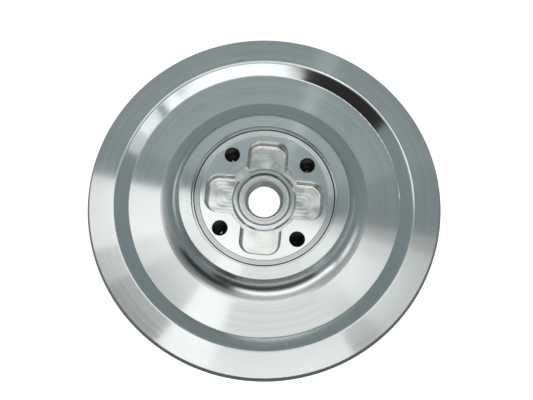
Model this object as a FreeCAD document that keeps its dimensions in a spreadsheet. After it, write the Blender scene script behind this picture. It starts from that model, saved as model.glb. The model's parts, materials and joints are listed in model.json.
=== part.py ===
import FreeCAD, Part
import math
import os
import re

import Sketcher

# Back plate of a centrifugal supercharger's compressor, with its impeller-shaft bearing and seal.
# Frame: +Z leaves the hub face towards the gearcase; the origin is the centre of the rear resting face.

SIZES = [
    # alias, value in mm (or degrees, or a count), meaning
    ("rim_r", 90.0, "widest radius of the rim"),
    ("rim_front_r", 88.4, "radius where the rim's bevel meets the outer face"),
    ("rim_wide_top", 11.2, "height where the bevel ends at the widest radius"),
    ("rim_seat", 9.6, "height of the rim's rear seat on the housing"),
    ("outer_face", 13.8, "height of the flat outer face"),
    ("cone_top_r", 75.7, "radius at the top of the conical step"),
    ("cone_foot_r", 69.7, "radius at the foot of the conical step"),
    ("cone_top_round", 3.2, "rounding at the top of the conical step"),
    ("cone_foot_round", 0.9, "rounding at the foot of the conical step"),
    ("dish_floor", 9.4, "height of the flat dished floor"),
    ("hub_r", 42.7, "outer radius of the hub ring"),
    ("hub_face", 18.0, "height of the hub face, the tallest point"),
    ("hub_cove", 11.0, "radius of the cove that rises from the floor to the hub ring's edge"),
    ("register_r", 36.6, "radius of the register bore in the hub face"),
    ("register_floor", 15.6, "height of the ledge under the register"),
    ("groove_outer_r", 35.8, "outer radius of the narrow groove in the register"),
    ("groove_inner_r", 35.2, "inner radius of the narrow groove"),
    ("groove_floor", 14.0, "height of the narrow groove's floor"),
    ("land_top", 15.5, "height of the coned land beside the groove"),
    ("centre_r", 32.9, "radius of the recessed centre face"),
    ("centre_face", 15.0, "height of the recessed centre face"),
    ("centre_round", 0.35, "radius of the corner round the centre face"),
    ("channel_r", 18.6, "radius of the round channel about the bearing boss"),
    ("pocket_floor", 8.0, "height of the channel's and the lobes' floor"),
    ("boss_r", 16.7, "outer radius of the bearing boss"),
    ("boss_top", 9.4, "height of the bearing boss"),
    ("boss_round", 1.25, "rounding of the boss's outer edge"),
    ("boss_lead", 0.6, "lead-in chamfer of the bearing bore"),
    ("lobe_half", 10.2, "half the width of a pocket lobe"),
    ("lobe_end", 29.8, "distance from the axis to a lobe's outer end"),
    ("lobe_corner", 6.4, "radius of a lobe's corners"),
    ("lobe_foot", 1.6, "radius between a lobe's wall and its floor"),
    ("lobe_turn", -5.4, "angle of the first lobe from +X"),
    ("lobe_count", 4, "number of lobes, and of tapped holes"),
    ("hole_r", 4.0, "major radius of the M8 tapped holes"),
    ("hole_circle_r", 27.5, "radius of the circle of tapped holes"),
    ("hole_turn", 36.5, "angle of the first tapped hole from +X"),
    ("hole_depth", 10.5, "depth of the tapped holes"),
    ("edge_break", 0.2, "small bevel on sharp turned edges"),
    ("recess_r", 44.0, "radius of the impeller recess in the rear face"),
    ("recess_top", 0.7, "height of the impeller recess's floor"),
    ("pilot_r", 82.5, "radius of the rear pilot spigot"),
    ("pilot_lead", 0.5, "lead-in chamfer of the pilot"),
    ("oring_r", 1.31, "half the section of the pilot's O-ring"),
    ("oring_mid", 6.0, "height of the pilot O-ring's middle"),
    ("gland_half", 1.7, "half the width of the O-ring's groove"),
    ("gland_floor_r", 80.4, "radius of the O-ring groove's floor"),
    ("bearing_bore_r", 10.0, "bore radius of the bearing"),
    ("bearing_outer_r", 13.5, "outer radius of the bearing"),
    ("bearing_mid", 6.8, "height of the bearing's middle"),
    ("bearing_half", 2.0, "half the width of the bearing"),
    ("bearing_chamfer", 0.3, "corner chamfer of the bearing's rings"),
    ("inner_land_r", 11.0, "outer radius of the inner ring"),
    ("outer_land_r", 12.45, "inner radius of the outer ring"),
    ("seat_gap", 0.02, "radial gap of a seated ring in its bore"),
    ("ball_r", 1.0, "ball radius"),
    ("race_r", 1.06, "radius of the race grooves' section"),
    ("ball_pitch_r", 11.75, "radius of the circle of ball centres"),
    ("ball_count", 18, "number of balls"),
    ("cage_inner_r", 11.3, "inner radius of the cage"),
    ("cage_outer_r", 12.15, "outer radius of the cage"),
    ("cage_below", 1.35, "depth of the cage's ring under the ball centres"),
    ("cage_above", 0.6, "height of the cage's fingers over the ball centres"),
    ("cage_pocket_r", 1.08, "radius of a ball's pocket in the cage"),
    ("shield_inner_r", 11.15, "inner radius of a shield"),
    ("shield_seat_r", 12.85, "radius of the shield's seat in the outer ring"),
    ("shield_gauge", 0.2, "sheet thickness of a shield"),
    ("shield_inset", 0.15, "depth of a shield's face under the ring's face"),
    ("shield_skirt", 0.3, "depth of the shield's turned-in skirt"),
    ("shoulder_r", 10.9, "radius of the hole in the web between bearing and seal"),
    ("shoulder_top", 4.2, "height of the web's bearing side"),
    ("seal_top", 3.5, "height of the web's seal side"),
    ("washer_inner_r", 11.9, "inner radius of the wave washer"),
    ("washer_outer_r", 13.2, "outer radius of the wave washer"),
    ("washer_gauge", 0.25, "sheet thickness of the wave washer"),
    ("washer_wave", 0.15, "height of a wave over its middle"),
    ("seal_r", 13.0, "outer radius of the shaft seal"),
    ("seal_gauge", 0.45, "sheet thickness of the seal's case"),
    ("seal_eye_r", 10.5, "inner radius of the seal case's web"),
    ("seal_base", 0.75, "height of the seal's rear edge"),
    ("lip_r", 8.15, "radius of the seal lip's edge"),
    ("lip_tip", 3.9, "height of the seal lip's edge"),
    ("lip_gauge", 0.4, "thickness of the seal lip"),
    ("gasket_gauge", 0.35, "thickness of the seal's gasket"),
    ("clamp_eye_r", 9.6, "inner radius of the seal's clamp ring"),
]
ALIASES = {alias for alias, _, _ in SIZES}
# The second axis of a sketch on the XZ plane runs along Z.
UP_IN_SKETCH = FreeCAD.Vector(0, 1, 0)

doc = FreeCAD.newDocument("compressor_back_plate")
sheet = doc.addObject("Spreadsheet::Sheet", "sizes")
for row, (alias, number, meaning) in enumerate(SIZES, start=1):
    sheet.set(f"A{row}", meaning)
    sheet.set(f"B{row}", str(number))
    sheet.setAlias(f"B{row}", alias)
doc.recompute()


def linked(formula):
    """The formula with each alias written as a reference to the sheet."""
    def refer(found):
        word = found.group()
        return f"sizes.{word}" if word in ALIASES else word
    return re.sub(r"[a-z][a-z_]*", refer, formula)


def value(formula):
    """The formula's value now, as a number."""
    return float(sheet.evalExpression(linked(formula)))


def new_body(label):
    """An empty body whose label names its file."""
    body = doc.addObject("PartDesign::Body", label)
    body.Label = label
    return body


def plane(body, role):
    """One of the body's own origin planes or axes."""
    return next(item for item in body.Origin.OriginFeatures if item.Role == role)


def new_sketch(body, name, role="XZ_Plane"):
    """A sketch on one of the body's own origin planes."""
    sketch = body.newObject("Sketcher::SketchObject", name)
    sketch.AttachmentSupport = [(plane(body, role), "")]
    sketch.MapMode = "FlatFace"
    return sketch


def pin_point(sketch, geometry, end, across, along):
    """Bind a point of the sketch to its two formulas, or to an axis where a formula is zero."""
    for kind, axis, formula in (("DistanceX", -2, across), ("DistanceY", -1, along)):
        if formula == "0":
            sketch.addConstraint(Sketcher.Constraint("PointOnObject", geometry, end, axis))
            continue
        size = value(formula)
        index = sketch.addConstraint(Sketcher.Constraint(kind, -1, 1, geometry, end, size))
        sketch.setExpression(f"Constraints[{index}]", linked(formula))


def arc_between(start, end, radius, bulge):
    """The short arc from start to end; bulge 1 puts its centre on the left of the way, -1 on the right."""
    way = end - start
    middle = (start + end) * 0.5
    left = FreeCAD.Vector(-way.y, way.x, 0).normalize()
    reach = math.sqrt(max(radius ** 2 - (way.Length / 2) ** 2, 0.0))
    centre = middle + left * reach * bulge
    top = centre - left * radius * bulge
    return Part.Arc(start, top, end)


def outline(sketch, points):
    """A closed outline through points, each (across, along) or, where an arc leaves it,
    (across, along, radius, bulge)."""
    places = [FreeCAD.Vector(value(point[0]), value(point[1]), 0) for point in points]
    count = len(points)
    for index, point in enumerate(points):
        start, end = places[index], places[(index + 1) % count]
        if len(point) == 2:
            sketch.addGeometry(Part.LineSegment(start, end), False)
        else:
            sketch.addGeometry(arc_between(start, end, value(point[2]), point[3]), False)
    starts = []
    for index, point in enumerate(points):
        # An arc always runs anticlockwise in a sketch, so a clockwise one is entered at its second end.
        turned = len(point) == 4 and point[3] < 0
        starts.append(2 if turned else 1)
    for index, point in enumerate(points):
        following = (index + 1) % count
        leaving = 3 - starts[index]
        sketch.addConstraint(
            Sketcher.Constraint("Coincident", index, leaving, following, starts[following])
        )
        pin_point(sketch, index, starts[index], point[0], point[1])
        if len(point) == 4:
            radius = sketch.addConstraint(Sketcher.Constraint("Radius", index, value(point[2])))
            sketch.setExpression(f"Constraints[{radius}]", linked(point[2]))


def turn(body, name, points):
    """A turned solid: the outline, in radius and height, taken once round Z."""
    sketch = new_sketch(body, f"{name}_outline")
    outline(sketch, points)
    doc.recompute()
    solid = body.newObject("PartDesign::Revolution", name)
    solid.Profile = sketch
    solid.ReferenceAxis = (sketch, ["V_Axis"])
    solid.Angle = 360
    doc.recompute()
    return solid


def round_edges(body, name, base, chosen, radius):
    """Round the base feature's edges that the test picks."""
    names = [f"Edge{i}" for i, edge in enumerate(base.Shape.Edges, start=1) if chosen(edge)]
    rounding = body.newObject("PartDesign::Fillet", name)
    rounding.Base = (base, names)
    rounding.setExpression("Radius", linked(radius))
    doc.recompute()
    return rounding


def ring_edge(radius, height):
    """A test for the full circle of this radius at this height."""
    def chosen(edge):
        curve = edge.Curve
        return (
            isinstance(curve, Part.Circle)
            and abs(curve.Radius - value(radius)) < 1e-4
            and abs(curve.Center.z - value(height)) < 1e-4
        )
    return chosen


def cut_deeper(body, feature, before):
    """Stop if a cut removed nothing."""
    if feature.Shape.Volume > before - 1.0:
        raise ValueError(f"{feature.Name} cuts nothing")
    body.Tip = feature


def polar(body, name, feature, count):
    """The feature repeated evenly round Z."""
    pattern = body.newObject("PartDesign::PolarPattern", name)
    pattern.Originals = [feature]
    pattern.Axis = (plane(body, "Z_Axis"), [""])
    pattern.Angle = 360
    pattern.setExpression("Occurrences", linked(count))
    doc.recompute()
    body.Tip = pattern
    return pattern


def make_back_plate():
    """The billet plate: turned all over, then milled with four lobes and four tapped holes."""
    body = new_body("back_plate")
    # The cove leaves the floor level and meets the hub ring's edge almost upright.
    rise = "(hub_face - edge_break - dish_floor)"
    cove_foot = f"hub_r + sqrt(2 * hub_cove * {rise} - {rise} * {rise})"
    blank = turn(body, "plate_turning", [
        ("seal_r + seat_gap", "recess_top"),
        ("recess_r", "recess_top"),
        ("recess_r + recess_top", "0"),
        ("pilot_r - pilot_lead", "0"),
        ("pilot_r", "pilot_lead"),
        ("pilot_r", "oring_mid - gland_half"),
        ("gland_floor_r", "oring_mid - gland_half"),
        ("gland_floor_r", "oring_mid + gland_half"),
        ("pilot_r", "oring_mid + gland_half"),
        ("pilot_r", "rim_seat"),
        ("rim_r - edge_break", "rim_seat"),
        ("rim_r", "rim_seat + edge_break"),
        ("rim_r", "rim_wide_top"),
        ("rim_front_r", "outer_face"),
        ("cone_top_r", "outer_face"),
        ("cone_foot_r", "dish_floor"),
        (cove_foot, "dish_floor", "hub_cove", -1),
        ("hub_r", "hub_face - edge_break"),
        ("hub_r - edge_break", "hub_face"),
        ("register_r + edge_break", "hub_face"),
        ("register_r", "hub_face - edge_break"),
        ("register_r", "register_floor"),
        ("groove_outer_r", "register_floor"),
        ("groove_outer_r", "groove_floor"),
        ("groove_inner_r", "groove_floor"),
        ("groove_inner_r", "land_top"),
        ("centre_r", "centre_face + centre_round", "centre_round", -1),
        ("centre_r - centre_round", "centre_face"),
        ("channel_r", "centre_face"),
        ("channel_r", "pocket_floor"),
        ("boss_r", "pocket_floor"),
        ("boss_r", "boss_top - boss_round", "boss_round", 1),
        ("boss_r - boss_round", "boss_top"),
        ("bearing_outer_r + boss_lead", "boss_top"),
        ("bearing_outer_r + seat_gap", "boss_top - boss_lead"),
        ("bearing_outer_r + seat_gap", "shoulder_top"),
        ("shoulder_r", "shoulder_top"),
        ("shoulder_r", "seal_top"),
        ("seal_r + seat_gap", "seal_top"),
    ])
    top = round_edges(body, "cone_top", blank, ring_edge("cone_top_r", "outer_face"), "cone_top_round")
    foot = round_edges(body, "cone_foot", top, ring_edge("cone_foot_r", "dish_floor"), "cone_foot_round")
    return add_holes(body, add_lobes(body, foot))


def add_lobes(body, base):
    """Mill the four lobes outwards from the channel, round their foot and break their rim."""
    sketch = new_sketch(body, "lobe_outline", "XY_Plane")
    sketch.setExpression("AttachmentOffset.Rotation.Angle", linked("lobe_turn"))
    sketch.setExpression("AttachmentOffset.Base.z", linked("centre_face"))
    # The inner end lies inside the channel, clear of the boss.
    start = "sqrt(boss_r * boss_r - lobe_half * lobe_half) + 1"
    inner = "(channel_r + boss_r) / 2"
    outline(sketch, [
        (start, "-lobe_half"),
        ("lobe_end - lobe_corner", "-lobe_half", "lobe_corner", 1),
        ("lobe_end", "-(lobe_half - lobe_corner)"),
        ("lobe_end", "lobe_half - lobe_corner", "lobe_corner", 1),
        ("lobe_end - lobe_corner", "lobe_half"),
        (start, "lobe_half", inner, -1),
    ])
    doc.recompute()
    before = base.Shape.Volume
    pocket = body.newObject("PartDesign::Pocket", "lobe")
    pocket.Profile = sketch
    pocket.setExpression("Length", linked("centre_face - pocket_floor"))
    doc.recompute()
    cut_deeper(body, pocket, before)
    lobes = polar(body, "lobes", pocket, "lobe_count")
    floor = value("pocket_floor")
    reach = value("channel_r")

    def on_foot(edge):
        box = edge.BoundBox
        flat = abs(box.ZMin - floor) < 1e-4 and abs(box.ZMax - floor) < 1e-4
        far = max(math.hypot(v.X, v.Y) for v in edge.Vertexes) > reach + 0.01
        return flat and far

    feet = round_edges(body, "lobe_feet", lobes, on_foot, "lobe_foot")
    face = value("centre_face")
    edge_of_face = value("centre_r")

    def on_rim(edge):
        box = edge.BoundBox
        flat = abs(box.ZMin - face) < 1e-4 and abs(box.ZMax - face) < 1e-4
        return flat and max(math.hypot(v.X, v.Y) for v in edge.Vertexes) < edge_of_face - 0.5

    return round_edges(body, "lobe_rims", feet, on_rim, "edge_break")


def add_holes(body, base):
    """Drill the four tapped holes, drawn at the thread's major diameter, with a drill point."""
    sketch = new_sketch(body, "hole_outline")
    sketch.AttachmentOffset = FreeCAD.Placement(FreeCAD.Vector(), FreeCAD.Rotation(UP_IN_SKETCH, 1))
    sketch.setExpression("AttachmentOffset.Rotation.Angle", linked("hole_turn"))
    hole = "hole_circle_r"
    outline(sketch, [
        (hole, "centre_face + 1"),
        (hole, "centre_face - hole_depth - hole_r / 2"),
        (f"{hole} + hole_r", "centre_face - hole_depth"),
        (f"{hole} + hole_r", "centre_face + 1"),
    ])
    doc.recompute()
    before = base.Shape.Volume
    drill = body.newObject("PartDesign::Groove", "tapped_hole")
    drill.Profile = sketch
    drill.ReferenceAxis = (sketch, ["Edge1"])
    drill.Angle = 360
    doc.recompute()
    cut_deeper(body, drill, before)
    polar(body, "tapped_holes", drill, "lobe_count")
    return body


def turned_piece(label, points):
    """A whole sub-part that is turned in one go."""
    body = new_body(label)
    turn(body, f"{label}_turning", points)
    return body


def make_bearing_rings():
    """The thin-section bearing's two rings, each with its race groove."""
    low, high = "bearing_mid - bearing_half", "bearing_mid + bearing_half"
    # Half the width of each groove where it breaks into its ring's land.
    inner_half = "sqrt(race_r * race_r - (ball_pitch_r - inner_land_r) * (ball_pitch_r - inner_land_r))"
    outer_half = "sqrt(race_r * race_r - (outer_land_r - ball_pitch_r) * (outer_land_r - ball_pitch_r))"
    step = "shield_inset + shield_gauge + shield_skirt"
    turned_piece("bearing_inner_ring", [
        ("bearing_bore_r + bearing_chamfer", low),
        ("inner_land_r", low),
        ("inner_land_r", f"bearing_mid - {inner_half}", "race_r", -1),
        ("inner_land_r", f"bearing_mid + {inner_half}"),
        ("inner_land_r", high),
        ("bearing_bore_r + bearing_chamfer", high),
        ("bearing_bore_r", f"{high} - bearing_chamfer"),
        ("bearing_bore_r", f"{low} + bearing_chamfer"),
    ])
    turned_piece("bearing_outer_ring", [
        ("shield_seat_r", low),
        ("bearing_outer_r - bearing_chamfer", low),
        ("bearing_outer_r", f"{low} + bearing_chamfer"),
        ("bearing_outer_r", f"{high} - bearing_chamfer"),
        ("bearing_outer_r - bearing_chamfer", high),
        ("shield_seat_r", high),
        ("shield_seat_r", f"{high} - ({step})"),
        ("outer_land_r", f"{high} - ({step})"),
        ("outer_land_r", f"bearing_mid + {outer_half}", "race_r", -1),
        ("outer_land_r", f"bearing_mid - {outer_half}"),
        ("outer_land_r", f"{low} + ({step})"),
        ("shield_seat_r", f"{low} + ({step})"),
    ])


def make_balls():
    """The balls, evenly spaced on their pitch circle."""
    for index in range(int(value("ball_count"))):
        ball = doc.addObject("Part::Sphere", f"bearing_ball_{index + 1:02d}")
        ball.Label = ball.Name
        turned = f"{index} * 360 deg / sizes.ball_count"
        ball.setExpression("Radius", linked("ball_r"))
        ball.setExpression("Placement.Base.x", f"sizes.ball_pitch_r * cos({turned})")
        ball.setExpression("Placement.Base.y", f"sizes.ball_pitch_r * sin({turned})")
        ball.setExpression("Placement.Base.z", linked("bearing_mid"))


def make_cage():
    """The crown cage: a ring with one open-topped pocket for each ball."""
    body = new_body("bearing_cage")
    ring = turn(body, "cage_turning", [
        ("cage_inner_r", "bearing_mid - cage_below"),
        ("cage_outer_r", "bearing_mid - cage_below"),
        ("cage_outer_r", "bearing_mid + cage_above"),
        ("cage_inner_r", "bearing_mid + cage_above"),
    ])
    sketch = new_sketch(body, "pocket_outline", "YZ_Plane")
    sketch.addGeometry(Part.Circle(FreeCAD.Vector(0, value("bearing_mid"), 0), FreeCAD.Vector(0, 0, 1),
                                   value("cage_pocket_r")), False)
    sketch.addConstraint(Sketcher.Constraint("Radius", 0, value("cage_pocket_r")))
    sketch.setExpression("Constraints[0]", linked("cage_pocket_r"))
    pin_point(sketch, 0, 3, "0", "bearing_mid")
    doc.recompute()
    before = ring.Shape.Volume
    pocket = body.newObject("PartDesign::Pocket", "ball_pocket")
    pocket.Profile = sketch
    pocket.Reversed = True
    pocket.setExpression("Length", linked("cage_outer_r + ball_r"))
    doc.recompute()
    cut_deeper(body, pocket, before)
    polar(body, "ball_pockets", pocket, "ball_count")


def make_shields():
    """The two pressed shields: a flat washer with a skirt turned in at its rim."""
    for label, face, way in (("bearing_front_shield", "bearing_mid + bearing_half", "-"),
                             ("bearing_rear_shield", "bearing_mid - bearing_half", "+")):
        near = f"{face} {way} shield_inset"
        sheet_back = f"{near} {way} shield_gauge"
        skirt_end = f"{sheet_back} {way} shield_skirt"
        outer = "shield_seat_r - seat_gap"
        turned_piece(label, [
            ("shield_inner_r", near),
            (outer, near),
            (outer, skirt_end),
            (f"{outer} - shield_gauge", skirt_end),
            (f"{outer} - shield_gauge", sheet_back),
            ("shield_inner_r", sheet_back),
        ])


def make_preload_washer():
    """The three-wave washer that presses the bearing's outer ring off the web."""
    inner, outer = value("washer_inner_r"), value("washer_outer_r")
    gauge, wave = value("washer_gauge"), value("washer_wave")
    middle = (value("shoulder_top") + value("bearing_mid") - value("bearing_half")) / 2
    stations = 36
    sections = []
    for station in range(stations):
        angle = 2 * math.pi * station / stations
        low = middle - gauge / 2 + wave * math.cos(3 * angle)
        corners = [(inner, low), (outer, low), (outer, low + gauge), (inner, low + gauge), (inner, low)]
        sections.append(Part.makePolygon([
            FreeCAD.Vector(r * math.cos(angle), r * math.sin(angle), z) for r, z in corners
        ]))
    washer = doc.addObject("Part::Feature", "bearing_preload_washer")
    washer.Label = washer.Name
    washer.Shape = Part.makeLoft(sections, True, False, True)
    washer.Placement = FreeCAD.Placement()


def make_seal():
    """The shaft seal: pressed case, gasket, lip formed towards the bearing, and the clamp ring."""
    web = "seal_top - seal_gauge"
    turned_piece("seal_case", [
        ("seal_eye_r", web),
        ("seal_r - seal_gauge", web),
        ("seal_r - seal_gauge", "seal_base"),
        ("seal_r", "seal_base"),
        ("seal_r", "seal_top - seal_gauge / 2"),
        ("seal_r - seal_gauge / 2", "seal_top"),
        ("seal_eye_r", "seal_top"),
    ])
    fit = "seal_r - seal_gauge - seat_gap"
    lip_top = f"{web} - seat_gap"
    # The lip leaves the clamped disc in a quarter bend and ends at its edge.
    bend = "(lip_tip - seal_top + seal_gauge + seat_gap + lip_gauge)"
    turned_piece("seal_lip", [
        ("lip_r", "lip_tip"),
        (f"lip_r + {bend}", f"{lip_top} - lip_gauge"),
        (fit, f"{lip_top} - lip_gauge"),
        (fit, lip_top),
        (f"lip_r + {bend} + lip_gauge / 2", lip_top),
        ("lip_r + lip_gauge", "lip_tip"),
    ])
    gasket_top = f"{lip_top} - lip_gauge - seat_gap"
    turned_piece("seal_gasket", [
        ("seal_eye_r", f"{gasket_top} - gasket_gauge"),
        (fit, f"{gasket_top} - gasket_gauge"),
        (fit, gasket_top),
        ("seal_eye_r", gasket_top),
    ])
    clamp_top = f"{gasket_top} - gasket_gauge - seat_gap"
    turned_piece("seal_clamp_ring", [
        ("clamp_eye_r", f"{clamp_top} - seal_gauge"),
        (f"{fit} - seal_gauge", f"{clamp_top} - seal_gauge"),
        (f"{fit} - seal_gauge", "seal_base"),
        (fit, "seal_base"),
        (fit, clamp_top),
        ("clamp_eye_r", clamp_top),
    ])


def make_pilot_o_ring():
    """The O-ring that seals the rear pilot in its housing."""
    ring = doc.addObject("Part::Torus", "pilot_o_ring")
    ring.Label = ring.Name
    ring.setExpression("Radius1", linked("gland_floor_r + oring_r + seat_gap"))
    ring.setExpression("Radius2", linked("oring_r"))
    ring.setExpression("Placement.Base.z", linked("oring_mid"))


def sub_parts():
    """Every object that stands for a sub-part: the bodies and the free-standing solids."""
    kinds = ("PartDesign::Body", "Part::Sphere", "Part::Torus", "Part::Feature")
    return [item for item in doc.Objects if item.TypeId in kinds]


def check_and_write():
    """Stop on any failed object or bad shape, then write one STEP file for each sub-part."""
    doc.recompute()
    failed = [item.Name for item in doc.Objects if {"Invalid", "Error"} & set(item.State)]
    if failed:
        raise ValueError(f"failed objects: {failed}")
    for item in sub_parts():
        if item.Shape.isNull() or not item.Shape.isValid():
            raise ValueError(f"{item.Label} has a bad shape")
    os.makedirs("parts", exist_ok=True)
    for item in sub_parts():
        item.Shape.exportStep(f"parts/{item.Label}.step")
        print(f"{item.Label}: {item.Shape.Volume:.1f} mm3")


make_back_plate()
make_bearing_rings()
make_balls()
make_cage()
make_shields()
make_preload_washer()
make_seal()
make_pilot_o_ring()
check_and_write()
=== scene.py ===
import json
import math

import bpy
import numpy as np
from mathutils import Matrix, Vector


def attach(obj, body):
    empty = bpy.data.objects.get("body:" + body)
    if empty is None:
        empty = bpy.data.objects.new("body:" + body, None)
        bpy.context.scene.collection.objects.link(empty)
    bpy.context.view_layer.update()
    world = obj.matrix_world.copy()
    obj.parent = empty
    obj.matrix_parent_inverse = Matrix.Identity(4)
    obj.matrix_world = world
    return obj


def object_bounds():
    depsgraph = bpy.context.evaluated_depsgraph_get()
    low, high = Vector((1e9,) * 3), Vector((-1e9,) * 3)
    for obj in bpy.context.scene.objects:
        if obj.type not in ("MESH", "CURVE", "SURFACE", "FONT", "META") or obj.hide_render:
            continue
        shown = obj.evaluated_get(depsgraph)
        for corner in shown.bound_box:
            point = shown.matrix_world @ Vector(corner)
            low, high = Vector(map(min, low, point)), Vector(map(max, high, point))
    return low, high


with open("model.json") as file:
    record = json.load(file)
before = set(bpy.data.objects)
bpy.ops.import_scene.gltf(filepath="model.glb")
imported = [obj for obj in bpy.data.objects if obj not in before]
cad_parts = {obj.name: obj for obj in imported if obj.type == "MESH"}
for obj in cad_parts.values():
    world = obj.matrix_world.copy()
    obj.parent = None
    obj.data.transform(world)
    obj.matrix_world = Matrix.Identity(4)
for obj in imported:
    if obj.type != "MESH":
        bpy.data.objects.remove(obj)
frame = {"nodes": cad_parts, "record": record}
cad_low, cad_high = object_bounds()
NODES = frame["nodes"]
BOLTS = next(mount for mount in frame["record"]["mounts"] if mount["name"] == "gearcase_bolts")["dims"]
MM = 0.001

# The plate's own places, in millimetres, as the CAD model has them.
OUTER_FACE = 13.8
CENTRE_FACE = 15.0
CENTRE_R = 32.9
BOSS_R = 16.7
HUB_R = 42.7
HUB_FACE = 18.0
DISH_FLOOR = 9.4
REGISTER_R = 36.6
REGISTER_FLOOR = 15.6
GROOVE_OUTER_R = 35.8
GROOVE_INNER_R = 35.2
EDGE_BREAK = 0.2
FLOOR_INNER_R = 53.4
CONE_FOOT_R = 69.7
CONE_TOP_R = 75.7
CONE_SLOPE = math.atan2(OUTER_FACE - DISH_FLOOR, CONE_TOP_R - CONE_FOOT_R)
ROUNDING = 3.2                     # the rounding between the cone and the outer face
ROUNDING_LEG = ROUNDING * math.tan(CONE_SLOPE / 2)
ROUNDING_INNER_R = CONE_TOP_R - ROUNDING_LEG * math.cos(CONE_SLOPE)
ROUNDING_OUTER_R = CONE_TOP_R + ROUNDING_LEG
RIM_INNER_R = 86.5                 # every triangle of the rim's bevel and edge has its middle outside this
LOBE_HALF = 10.2
LOBE_END = 29.8
LOBE_TURN = math.radians(-5.4)
HOLE_TURN = math.radians(36.5)
HOLE_BOTTOM = 4.5
THREAD_PITCH = 1.25
THREAD_CREST_R = 3.38
THREAD_ROOT_HALF = 0.58            # half the ridge's width at the hole's wall
THREAD_CREST_HALF = 0.09           # and at its crest
HAIR = 0.02                        # a triangle whose middle is this far off a level face isn't on it


def put_in_scene(thing):
    bpy.context.scene.collection.objects.link(thing)
    return thing


# ---------------------------------------------------------------- camera
TILT = math.radians(15.3)          # angle between the camera's axis and the plate's axis
DISTANCE = 307.5 * MM              # from the camera to the hub face's plane, along the camera's axis
AIM_RIGHT = 1.2 * MM               # the camera's axis passes this far beside the hub face's centre
AIM_UP = -2.7 * MM                 # and this far above it, across the view
SENSOR = 36.0
FOCAL = 41.5


def add_camera():
    forward = Vector((0, math.sin(TILT), -math.cos(TILT)))
    right = Vector((1, 0, 0))
    up = right.cross(forward)
    hub_centre = Vector((0, 0, cad_high.z))
    aim = hub_centre + right * AIM_RIGHT + up * AIM_UP
    data = bpy.data.cameras.new("camera")
    data.sensor_width = SENSOR
    data.lens = FOCAL
    data.clip_start = 0.01
    camera = bpy.data.objects.new("camera", data)
    camera.location = aim - forward * DISTANCE
    camera.rotation_euler = forward.to_track_quat("-Z", "Y").to_euler()
    bpy.context.scene.camera = put_in_scene(camera)


# ---------------------------------------------------------------- lights
CEILING_EDGE = Vector((0, 0.206, 0.816))      # all the ceiling's panels meet here, over the plate's far side
CEILING_REACH = (0.0, 0.13, 0.18, 0.265, 0.38, 0.9)
CEILING_START = 10.8                          # degrees, clockwise from +X seen from above
WARM, COOL = (0.975, 1.0, 0.99), (0.84, 1.0, 1.03)
CEILING_PANELS = [
    # clockwise end in degrees, tint, then each panel's radiance outwards from the meeting point
    (17, WARM, 0.45, 0.40, 0.48, 0.36, 0.3),
    (27, WARM, 1.05, 0.85, 0.90, 0.50, 0.3),
    (48, WARM, 1.10, 1.05, 1.12, 0.44, 0.35),
    (60, WARM, 1.10, 1.10, 0.92, 0.22, 0.4),
    (109, WARM, 1.02, 0.97, 0.42, 1.25, 0.5),
    (128, WARM, 1.15, 1.30, 1.10, 1.35, 0.22),
    (153, WARM, 1.10, 1.30, 0.70, 0.24, 0.18),
    (165, WARM, 1.15, 1.25, 1.00, 0.50, 0.24),
    (190.8, WARM, 1.10, 1.25, 1.05, 1.05, 0.38),
    (205, COOL, 0.25, 0.26, 0.25, 0.26, 0.25),
    (289, COOL, 0.26, 0.48, 0.30, 0.26, 0.24),
    (296, COOL, 0.35, 0.75, 0.48, 0.36, 0.24),
    (345, COOL, 0.28, 0.36, 0.32, 0.26, 0.22),
    (370.8, COOL, 0.24, 0.24, 0.23, 0.23, 0.24),
]


def glow_material(name, radiance=1.0, colour=(1, 1, 1), attribute=None):
    """A surface that only glows, with one colour or with a face attribute's."""
    material = bpy.data.materials.new(name)
    material.use_nodes = True
    nodes, links = material.node_tree.nodes, material.node_tree.links
    nodes.remove(nodes["Principled BSDF"])
    glow = nodes.new("ShaderNodeEmission")
    glow.inputs["Color"].default_value = (*colour, 1)
    glow.inputs["Strength"].default_value = radiance
    if attribute:
        reader = nodes.new("ShaderNodeAttribute")
        reader.attribute_name = attribute
        links.new(reader.outputs["Color"], glow.inputs["Color"])
    links.new(glow.outputs["Emission"], nodes["Material Output"].inputs["Surface"])
    return material


def add_ceiling():
    """A fan of level, glowing panels over the plate, which meet at one point."""
    steps = 4            # flat pieces that each panel's arc is cut into
    points, faces, colours = [], [], []
    start = CEILING_START
    for end, tint, *glows in CEILING_PANELS:
        for step in range(steps):
            sides = [math.radians(-(start + (end - start) * (step + k) / steps)) for k in (0, 1)]
            for near, far, glow in zip(CEILING_REACH, CEILING_REACH[1:], glows):
                first = len(points)
                for side, reach in ((0, near), (0, far), (1, far), (1, near)):
                    way = Vector((math.cos(sides[side]), math.sin(sides[side]), 0))
                    points.append(CEILING_EDGE + way * reach)
                faces.append(range(first, first + 4))
                colours += [*(glow * part for part in tint), 1.0]
        start = end
    mesh = bpy.data.meshes.new("ceiling")
    mesh.from_pydata(points, [], faces)
    mesh.attributes.new("glow", "FLOAT_COLOR", "FACE").data.foreach_set("color", colours)
    mesh.materials.append(glow_material("ceiling_glow", attribute="glow"))
    ceiling = put_in_scene(bpy.data.objects.new("ceiling", mesh))
    ceiling.visible_camera = False


def level_sheet(name, wide, deep, height=0.0):
    """A level rectangular mesh about the Z axis."""
    x, y = wide / 2, deep / 2
    mesh = bpy.data.meshes.new(name)
    mesh.from_pydata([(-x, -y, height), (x, -y, height), (x, y, height), (-x, y, height)], [], [(0, 1, 2, 3)])
    return mesh


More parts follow.
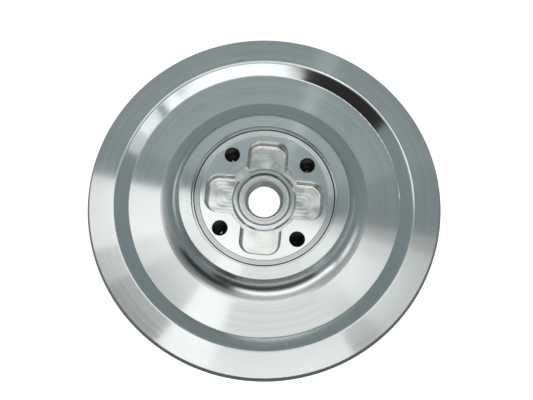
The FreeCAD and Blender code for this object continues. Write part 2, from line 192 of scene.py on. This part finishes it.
def add_card(name, size, radiance):
    """A soft rectangular light; radiance is what a mirror in front of it would show."""
    data = bpy.data.lights.new(name, "AREA")
    data.shape = "RECTANGLE"
    data.size, data.size_y = size
    data.energy = radiance * size[0] * size[1] * math.pi
    card = put_in_scene(bpy.data.objects.new(name, data))
    card.visible_camera = False
    return card


def add_flag(name, size, radiance=0.02, colour=(1, 0.95, 0.9)):
    """A dark screen that darkens what the metal mirrors."""
    flag = put_in_scene(bpy.data.objects.new(name, level_sheet(name, *size)))
    flag.data.materials.append(glow_material(name, radiance, colour))
    flag.visible_camera = False
    flag.visible_diffuse = False
    return flag


def face_plate(thing, azimuth, elevation, distance):
    """Puts a card or a flag at an azimuth and elevation, in degrees, and turns it to the plate."""
    east, rise = math.radians(azimuth), math.radians(elevation)
    way = Vector((math.cos(east) * math.cos(rise), math.sin(east) * math.cos(rise), math.sin(rise)))
    thing.location = way * distance
    thing.rotation_euler = way.to_track_quat("Z", "Y").to_euler()


CARD_DISTANCE = 0.9
SCREEN_DISTANCE = 0.95
CARD_HIGH = 0.27
LAMPS = [
    # name, azimuth in degrees, width, radiance
    ("lamp_a", 353, 0.15, 0.45),
    ("lamp_b", 342, 0.14, 0.75),
    ("lamp_c", 327, 0.09, 0.70),
]


def add_sides():
    """The bright card behind the camera, the dark screens beside and under it, and small lamps."""
    face_plate(add_card("behind_camera", (1.31, CARD_HIGH), 1.08), 281, 44, CARD_DISTANCE)
    face_plate(add_flag("left_screen", (0.75, 0.40)), 223.5, 42, SCREEN_DISTANCE)
    face_plate(add_flag("low_screen", (1.6, 0.50), 0.035, (1, 0.85, 0.7)), 270, 16, SCREEN_DISTANCE)
    for name, azimuth, wide, radiance in LAMPS:
        face_plate(add_card(name, (wide, CARD_HIGH), radiance), azimuth, 43, CARD_DISTANCE)


def add_world():
    """Grey surroundings, a little lighter overhead."""
    world = bpy.data.worlds.new("studio")
    world.use_nodes = True
    nodes, links = world.node_tree.nodes, world.node_tree.links
    place = nodes.new("ShaderNodeTexCoord")
    split = nodes.new("ShaderNodeSeparateXYZ")
    ramp = nodes.new("ShaderNodeValToRGB")
    links.new(place.outputs["Generated"], split.inputs[0])
    links.new(split.outputs["Z"], ramp.inputs["Fac"])
    links.new(ramp.outputs["Color"], nodes["Background"].inputs["Color"])
    ramp.color_ramp.elements[0].position = 0.35
    ramp.color_ramp.elements[0].color = (0.19, 0.225, 0.23, 1)
    ramp.color_ramp.elements[1].position = 0.9
    ramp.color_ramp.elements[1].color = (0.25, 0.30, 0.31, 1)
    bpy.context.scene.world = world


FLOOR_SIDE = 3.0
FLOOR_HEIGHT = -0.1 * MM               # just under the plate's rear face


def add_floor():
    """The plain white sheet that the plate lies on; its own glow keeps it white."""
    sheet = level_sheet("floor", FLOOR_SIDE, FLOOR_SIDE, FLOOR_HEIGHT)
    floor = put_in_scene(bpy.data.objects.new("floor", sheet))
    material = bpy.data.materials.new("floor_white")
    material.use_nodes = True
    shader = material.node_tree.nodes["Principled BSDF"]
    shader.inputs["Base Color"].default_value = (0.9, 0.9, 0.9, 1)
    shader.inputs["Roughness"].default_value = 0.9
    shader.inputs["Emission Color"].default_value = (1, 1, 1, 1)
    shader.inputs["Emission Strength"].default_value = 0.8
    floor.data.materials.append(material)


# ---------------------------------------------------------------- shader nodes
class Paint:
    """One material, with short ways to add and link its nodes; lengths in its textures are millimetres."""

    def __init__(self, name, colour, metallic, roughness):
        self.material = bpy.data.materials.new(name)
        self.material.use_nodes = True
        self.nodes = self.material.node_tree.nodes
        self.links = self.material.node_tree.links
        self.shader = self.nodes["Principled BSDF"]
        self.colour = colour
        self.roughness = roughness
        self.set(metallic=metallic)

    def set(self, **constants):
        """Sets the shader's own sockets, by their names in lower case."""
        for name, number in constants.items():
            self.shader.inputs[name.replace("_", " ").title()].default_value = number

    def feed(self, socket, source):
        if isinstance(source, bpy.types.NodeSocket):
            self.links.new(source, socket)
        else:
            socket.default_value = source

    def math(self, operation, *sources):
        node = self.nodes.new("ShaderNodeMath")
        node.operation = operation
        for socket, source in zip(node.inputs, sources):
            self.feed(socket, source)
        return node.outputs[0]

    def join(self, *sources):
        node = self.nodes.new("ShaderNodeCombineXYZ")
        for socket, source in zip(node.inputs, sources):
            self.feed(socket, source)
        return node.outputs[0]

    def place(self):
        """x, y and z on the piece, in millimetres."""
        where = self.nodes.new("ShaderNodeTexCoord")
        split = self.nodes.new("ShaderNodeSeparateXYZ")
        self.links.new(where.outputs["Object"], split.inputs[0])
        return [self.math("MULTIPLY", split.outputs[axis], 1 / MM) for axis in "XYZ"]

    def ring_place(self):
        """Radius and height in millimetres, then the cosine and sine of the angle about Z."""
        x, y, z = self.place()
        radius = self.math("SQRT", self.math("ADD", self.math("MULTIPLY", x, x), self.math("MULTIPLY", y, y)))
        far = self.math("MAXIMUM", radius, 0.01)
        return radius, z, self.math("DIVIDE", x, far), self.math("DIVIDE", y, far)

    def noise(self, vector, scale, detail=2.0, w=None, distortion=0.0):
        node = self.nodes.new("ShaderNodeTexNoise")
        self.feed(node.inputs["Vector"], vector)
        node.inputs["Scale"].default_value = scale
        node.inputs["Detail"].default_value = detail
        node.inputs["Distortion"].default_value = distortion
        if w is not None:
            node.noise_dimensions = "4D"
            self.feed(node.inputs["W"], w)
        return node.outputs["Fac"]

    def ring_noise(self, per_mm, drift, detail=2.0):
        """Noise that changes fast along the turned profile and slowly round it."""
        radius, z, cosine, sine = self.ring_place()
        vector = self.join(self.math("MULTIPLY", radius, per_mm), self.math("MULTIPLY", z, per_mm),
                           self.math("MULTIPLY", cosine, drift))
        return self.noise(vector, 1.0, detail, w=self.math("MULTIPLY", sine, drift))

    def span(self, source, low, high, to_low, to_high):
        node = self.nodes.new("ShaderNodeMapRange")
        for socket, number in zip(node.inputs, (source, low, high, to_low, to_high)):
            self.feed(socket, number)
        return node.outputs["Result"]

    def tint(self, factor, low, high):
        """The base colour, between low and high times its own brightness."""
        node = self.nodes.new("ShaderNodeMix")
        node.data_type = "RGBA"
        self.feed(node.inputs["Factor"], factor)
        for socket, end in ((node.inputs[6], low), (node.inputs[7], high)):
            socket.default_value = (*(part * end for part in self.colour), 1)
        self.links.new(node.outputs[2], self.shader.inputs["Base Color"])

    def shine(self, factor, spread):
        """Roughness that varies about its middle by the spread."""
        low, high = self.roughness - spread / 2, self.roughness + spread / 2
        self.links.new(self.span(factor, 0.3, 0.7, low, high), self.shader.inputs["Roughness"])

    def bump(self, height, depth_mm):
        node = self.nodes.new("ShaderNodeBump")
        node.inputs["Distance"].default_value = depth_mm * MM
        self.links.new(height, node.inputs["Height"])
        self.links.new(node.outputs["Normal"], self.shader.inputs["Normal"])

    def brushed_round(self, amount):
        """Highlights drawn out across the turning marks, which run round Z."""
        self.set(anisotropic=amount, anisotropic_rotation=0.25)
        tangent = self.nodes.new("ShaderNodeTangent")
        tangent.direction_type = "RADIAL"
        tangent.axis = "Z"
        self.links.new(tangent.outputs["Tangent"], self.shader.inputs["Tangent"])


def turned(name, colour, roughness, anisotropy, marks=0.0018, tone=(0.94, 1.02), spread=0.04):
    """Metal turned on a lathe: fine rings from the tool, broader bands, and a few faint stains."""
    paint = Paint(name, colour, 1.0, roughness)
    fine = paint.ring_noise(5.0, 0.8, 2.0)
    bands = paint.ring_noise(0.9, 0.5, 3.0)
    clouds = paint.noise(paint.join(*paint.place()), 0.035, 3.0)
    mixed = paint.math("ADD", paint.math("MULTIPLY", bands, 0.6), paint.math("MULTIPLY", clouds, 0.4))
    paint.tint(paint.span(mixed, 0.35, 0.65, 0.0, 1.0), *tone)
    paint.shine(bands, spread)
    paint.bump(fine, marks)
    paint.brushed_round(anisotropy)
    return paint.material


def milled(name):
    """Pocket cut in passes that follow its own outline, with a satin, clouded finish."""
    paint = Paint(name, (0.97, 0.975, 0.94), 1.0, 0.21)
    x, y, z = paint.place()
    cosine, sine = math.cos(LOBE_TURN), math.sin(LOBE_TURN)
    along = paint.math("ADD", paint.math("MULTIPLY", x, cosine), paint.math("MULTIPLY", y, sine))
    across = paint.math("SUBTRACT", paint.math("MULTIPLY", y, cosine), paint.math("MULTIPLY", x, sine))
    along = paint.math("ABSOLUTE", along)
    across = paint.math("ABSOLUTE", across)
    length = paint.math("MAXIMUM", along, across)
    width = paint.math("MINIMUM", along, across)
    passes = paint.math("SMOOTH_MAX", width, paint.math("SUBTRACT", length, LOBE_END - LOBE_HALF), 6.0)
    wobble = paint.math("MULTIPLY", paint.noise(paint.join(x, y, z), 0.25, 2.0), 0.8)
    wave = paint.math("SINE", paint.math("MULTIPLY", paint.math("ADD", passes, wobble), math.tau / 1.9))
    grain = paint.noise(paint.join(x, y, z), 1.6, 3.0)
    clouds = paint.noise(paint.join(x, y, z), 0.16, 3.0, distortion=0.6)
    swells = paint.noise(paint.join(x, y, z), 0.14, 0.0)
    paint.tint(paint.span(clouds, 0.35, 0.65, 0.0, 1.0), 0.88, 1.03)
    paint.shine(clouds, 0.12)
    height = paint.math("ADD", paint.math("MULTIPLY", wave, 0.05), paint.math("MULTIPLY", swells, 3.0))
    height = paint.math("ADD", height, paint.math("MULTIPLY", grain, 0.05))
    paint.bump(height, 0.08)
    return paint.material


def dark_thread(name):
    """Tapped hole and its thread, painted near black: painted shade deep in the hole."""
    paint = Paint(name, (0.085, 0.085, 0.075), 1.0, 0.42)
    clouds = paint.noise(paint.join(*paint.place()), 0.7, 3.0)
    paint.tint(paint.span(clouds, 0.35, 0.7, 0.0, 1.0), 0.55, 1.4)
    paint.shine(clouds, 0.2)
    paint.bump(clouds, 0.05)
    return paint.material


def pressed(name, colour, roughness):
    """Sheet steel as pressed, with faint drawn rings."""
    paint = Paint(name, colour, 1.0, roughness)
    rings = paint.ring_noise(3.0, 0.7, 2.0)
    specks = paint.noise(paint.join(*paint.place()), 2.5, 3.0)
    paint.tint(paint.span(specks, 0.35, 0.65, 0.0, 1.0), 0.90, 1.04)
    paint.shine(specks, 0.10)
    paint.bump(rings, 0.006)
    paint.brushed_round(0.6)
    return paint.material


def moulded(name, colour, roughness, grain_mm=0.5):
    """Moulded plastic or rubber with a fine skin."""
    paint = Paint(name, colour, 0.0, roughness)
    skin = paint.noise(paint.join(*paint.place()), 1 / grain_mm, 4.0)
    blotches = paint.noise(paint.join(*paint.place()), 0.25, 2.0)
    paint.tint(paint.span(blotches, 0.35, 0.65, 0.0, 1.0), 0.85, 1.15)
    paint.shine(skin, 0.14)
    paint.bump(skin, 0.01)
    return paint.material


# ---------------------------------------------------------------- the plate
def middles_and_normals(mesh):
    """Each triangle's middle, in millimetres, and its normal."""
    both = []
    for attribute in ("center", "normal"):
        numbers = np.zeros(len(mesh.polygons) * 3)
        mesh.polygons.foreach_get(attribute, numbers)
        both.append(numbers.reshape(-1, 3))
    return both[0] / MM, both[1]


def shade_rounding(mesh, chosen):
    """Shades the rounding at the cone's top by its true circle instead of by its triangles."""
    totals = np.zeros(len(mesh.polygons), int)
    mesh.polygons.foreach_get("loop_total", totals)
    chosen = np.repeat(chosen, totals)
    normals = np.zeros(len(mesh.loops) * 3)
    mesh.corner_normals.foreach_get("vector", normals)
    normals = normals.reshape(-1, 3)
    corners = np.zeros(len(mesh.loops), int)
    mesh.loops.foreach_get("vertex_index", corners)
    points = np.zeros(len(mesh.vertices) * 3)
    mesh.vertices.foreach_get("co", points)
    across = points.reshape(-1, 3)[corners][chosen][:, :2] / MM
    radius = np.hypot(across[:, 0], across[:, 1])
    outward = (radius - ROUNDING_OUTER_R) / ROUNDING
    upward = np.sqrt(np.clip(1 - outward ** 2, 0, 1))
    normals[chosen] = np.column_stack([across * (outward / radius)[:, None], upward])
    mesh.normals_split_custom_set(normals.tolist())


def plate_finishes():
    """The finish of each machined zone, with painted shade in the dark colours of the rim, groove, register
    wall, broken edge and tapped holes; their order is that of the plate's material slots.
    """
    fine = {"marks": 0.0008, "spread": 0.03}
    return {
        "turned": turned("turned_aluminium", (0.90, 0.92, 0.915), 0.145, 1.0),
        "faced": turned("faced_aluminium", (0.93, 0.945, 0.94), 0.13, 0.8, tone=(0.96, 1.02), **fine),
        "boss": turned("boss_aluminium", (0.88, 0.90, 0.90), 0.15, 0.6, marks=0.001),
        "milled": milled("milled_aluminium"),
        # tapped holes: their near-black base colour is painted shade in the deep holes
        "tapped": dark_thread("tapped_aluminium_painted_shade"),
        # rim: its near-black base colour is painted shade, standing in for the dark floor that the bevel
        # mirrors
        "rim": turned("rim_aluminium_painted_shade", (0.075, 0.085, 0.088), 0.34, 0.7, marks=0.002),
        "cone": turned("profiled_aluminium", (0.84, 0.87, 0.87), 0.13, 0.5, **fine),
        # groove: its dark base colour is painted shade in the narrow recess
        "groove": turned("groove_aluminium_painted_shade", (0.12, 0.125, 0.125), 0.35, 0.5, **fine),
        # register wall: its darker base colour is painted shade on the recessed wall
        "register": turned("bore_aluminium_painted_shade", (0.40, 0.42, 0.42), 0.22, 0.5, **fine),
        # broken edge: its dark base colour is a painted shadow line along the centre face's edge
        "broken_edge": turned("broken_edge_aluminium_painted_shade", (0.20, 0.21, 0.205), 0.35, 0.2, **fine),
        "cove": turned("cove_aluminium", (0.80, 0.83, 0.83), 0.2, 0.4, **fine),
    }


def paint_plate():
    """Gives each machined zone of the plate its own finish, by where its triangles lie."""
    mesh = NODES["back_plate"].data
    finishes = plate_finishes()
    slots = {name: slot for slot, name in enumerate(finishes)}
    mesh.materials.clear()
    for material in finishes.values():
        mesh.materials.append(material)
    middles, normals = middles_and_normals(mesh)
    radius = np.hypot(middles[:, 0], middles[:, 1])
    height = middles[:, 2]
    up = normals[:, 2]
    below_centre = height < CENTRE_FACE - HAIR
    broken_height = CENTRE_FACE - EDGE_BREAK / 2
    zones = np.zeros(len(mesh.polygons), int)
    zones[(radius > FLOOR_INNER_R + 5) & (radius < ROUNDING_OUTER_R + 0.15) & (up > 0)
          & (height > DISH_FLOOR + 0.005) & (height < OUTER_FACE - 0.005)] = slots["cone"]
    zones[(radius > HUB_R - 0.5) & (radius < FLOOR_INNER_R + 0.5) & (up > -0.1)
          & (height > DISH_FLOOR + HAIR) & (height < HUB_FACE - 0.3)] = slots["cove"]
    zones[(radius < CENTRE_R) & (abs(height - CENTRE_FACE) < HAIR) & (up > 0.9)] = slots["faced"]
    zones[(radius > BOSS_R - 0.1) & (radius < LOBE_END + 1) & (height > 5) & below_centre] = slots["milled"]
    zones[(radius < CENTRE_R - 0.5) & (up > 0.05) & (up < 0.99)
          & (abs(height - broken_height) < EDGE_BREAK / 2 - 0.01)] = slots["broken_edge"]
    zones[(radius < BOSS_R + 0.1) & (height < CENTRE_FACE)] = slots["boss"]
    for centre in hole_centres():
        from_hole = np.hypot(middles[:, 0] - centre.x, middles[:, 1] - centre.y)
        zones[(from_hole < BOLTS["hole_r_mm"] + 0.4) & (height > 3) & below_centre] = slots["tapped"]
    zones[(radius > GROOVE_INNER_R - 0.1) & (radius < GROOVE_OUTER_R + 0.1)
          & (height > HOLE_BOTTOM) & (height < REGISTER_FLOOR - 0.05)] = slots["groove"]
    zones[(abs(radius - REGISTER_R) < 0.15)
          & (height > REGISTER_FLOOR + 0.1) & (height < HUB_FACE - 0.15)] = slots["register"]
    zones[(radius > RIM_INNER_R) & (height < OUTER_FACE - HAIR) & (up > -0.5)] = slots["rim"]
    mesh.polygons.foreach_set("material_index", zones)
    shade_rounding(mesh, (radius > ROUNDING_INNER_R - HAIR) & (radius < ROUNDING_OUTER_R)
                   & (height > DISH_FLOOR + 2) & (height < OUTER_FACE - 0.0005))
    mesh.update()


def hole_centres():
    """Centres of the tapped holes, in millimetres."""
    circle = BOLTS["pcd_mm"] / 2
    angles = [HOLE_TURN + math.tau * step / BOLTS["count"] for step in range(BOLTS["count"])]
    return [Vector((circle * math.cos(angle), circle * math.sin(angle), 0)) for angle in angles]


def add_threads():
    """The cut thread in each tapped hole: a ridge that winds up its wall."""
    # the threads' near-black colour is painted shade inside the holes
    material = dark_thread("thread_aluminium_painted_shade")
    steps_per_turn = 32
    root = BOLTS["hole_r_mm"] + 0.03            # just inside the wall, so that no gap shows
    low, high = HOLE_BOTTOM + 1.5, CENTRE_FACE - 1.8
    count = int((high - low) / THREAD_PITCH * steps_per_turn)
    run_out = steps_per_turn // 2
    for number, centre in enumerate(hole_centres(), start=1):
        points, faces = [], []
        for step in range(count + 1):
            angle = math.tau * step / steps_per_turn
            lift = low + THREAD_PITCH * step / steps_per_turn
            share = min(1.0, step / run_out, (count - step) / run_out)
            crest = root - (root - THREAD_CREST_R) * max(share, 0.03)
            section = [(root, -THREAD_ROOT_HALF), (crest, -THREAD_CREST_HALF),
                       (crest, THREAD_CREST_HALF), (root, THREAD_ROOT_HALF)]
            way = Vector((math.cos(angle), math.sin(angle), 0))
            points += [(centre + way * reach + Vector((0, 0, lift + rise))) * MM for reach, rise in section]
        for step in range(count):
            first = step * 4
            for corner in range(4):
                after = (corner + 1) % 4
                faces.append((first + corner, first + after, first + 4 + after, first + 4 + corner))
        last = count * 4
        faces += [(3, 2, 1, 0), (last, last + 1, last + 2, last + 3)]
        mesh = bpy.data.meshes.new(f"thread_{number}")
        mesh.from_pydata(points, [], faces)
        mesh.materials.append(material)
        thread = put_in_scene(bpy.data.objects.new(f"thread_{number}", mesh))
        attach(thread, "plate")


# ---------------------------------------------------------------- bearing and seal
def paint_small_parts():
    """Gives each piece of the bearing and the seal its finish, by its name."""
    ground = turned("ground_steel", (0.46, 0.50, 0.55), 0.12, 0.5, marks=0.0005, tone=(0.94, 1.03))
    bright = turned("honed_steel", (0.93, 0.925, 0.89), 0.2, 0.6, marks=0.0008, tone=(0.94, 1.03))
    balls = turned("ball_steel", (0.72, 0.73, 0.75), 0.08, 0.0, marks=0.0005, tone=(0.97, 1.02), spread=0.03)
    shields = pressed("shield_steel", (0.93, 0.91, 0.86), 0.24)
    sheet = pressed("seal_steel", (0.70, 0.71, 0.70), 0.34)
    rubber = moulded("seal_rubber", (0.022, 0.023, 0.024), 0.55, 0.4)
    finishes = {
        "bearing_outer_ring": ground,
        "bearing_inner_ring": bright,
        "bearing_front_shield": shields,
        "bearing_rear_shield": shields,
        "bearing_cage": moulded("cage_polymer", (0.40, 0.27, 0.13), 0.45),
        "seal_lip": moulded("lip_polymer", (0.62, 0.72, 0.68), 0.35, 0.3),
        "seal_gasket": rubber,
        "pilot_o_ring": rubber,
    }
    for name, node in NODES.items():
        if name == "back_plate":
            continue
        other = balls if "ball" in name else sheet
        node.data.materials.clear()
        node.data.materials.append(finishes.get(name, other))


# ---------------------------------------------------------------- making
add_camera()
add_world()
add_floor()
add_ceiling()
add_sides()
paint_plate()
paint_small_parts()
add_threads()

bpy.context.scene.view_settings.view_transform = "Standard"
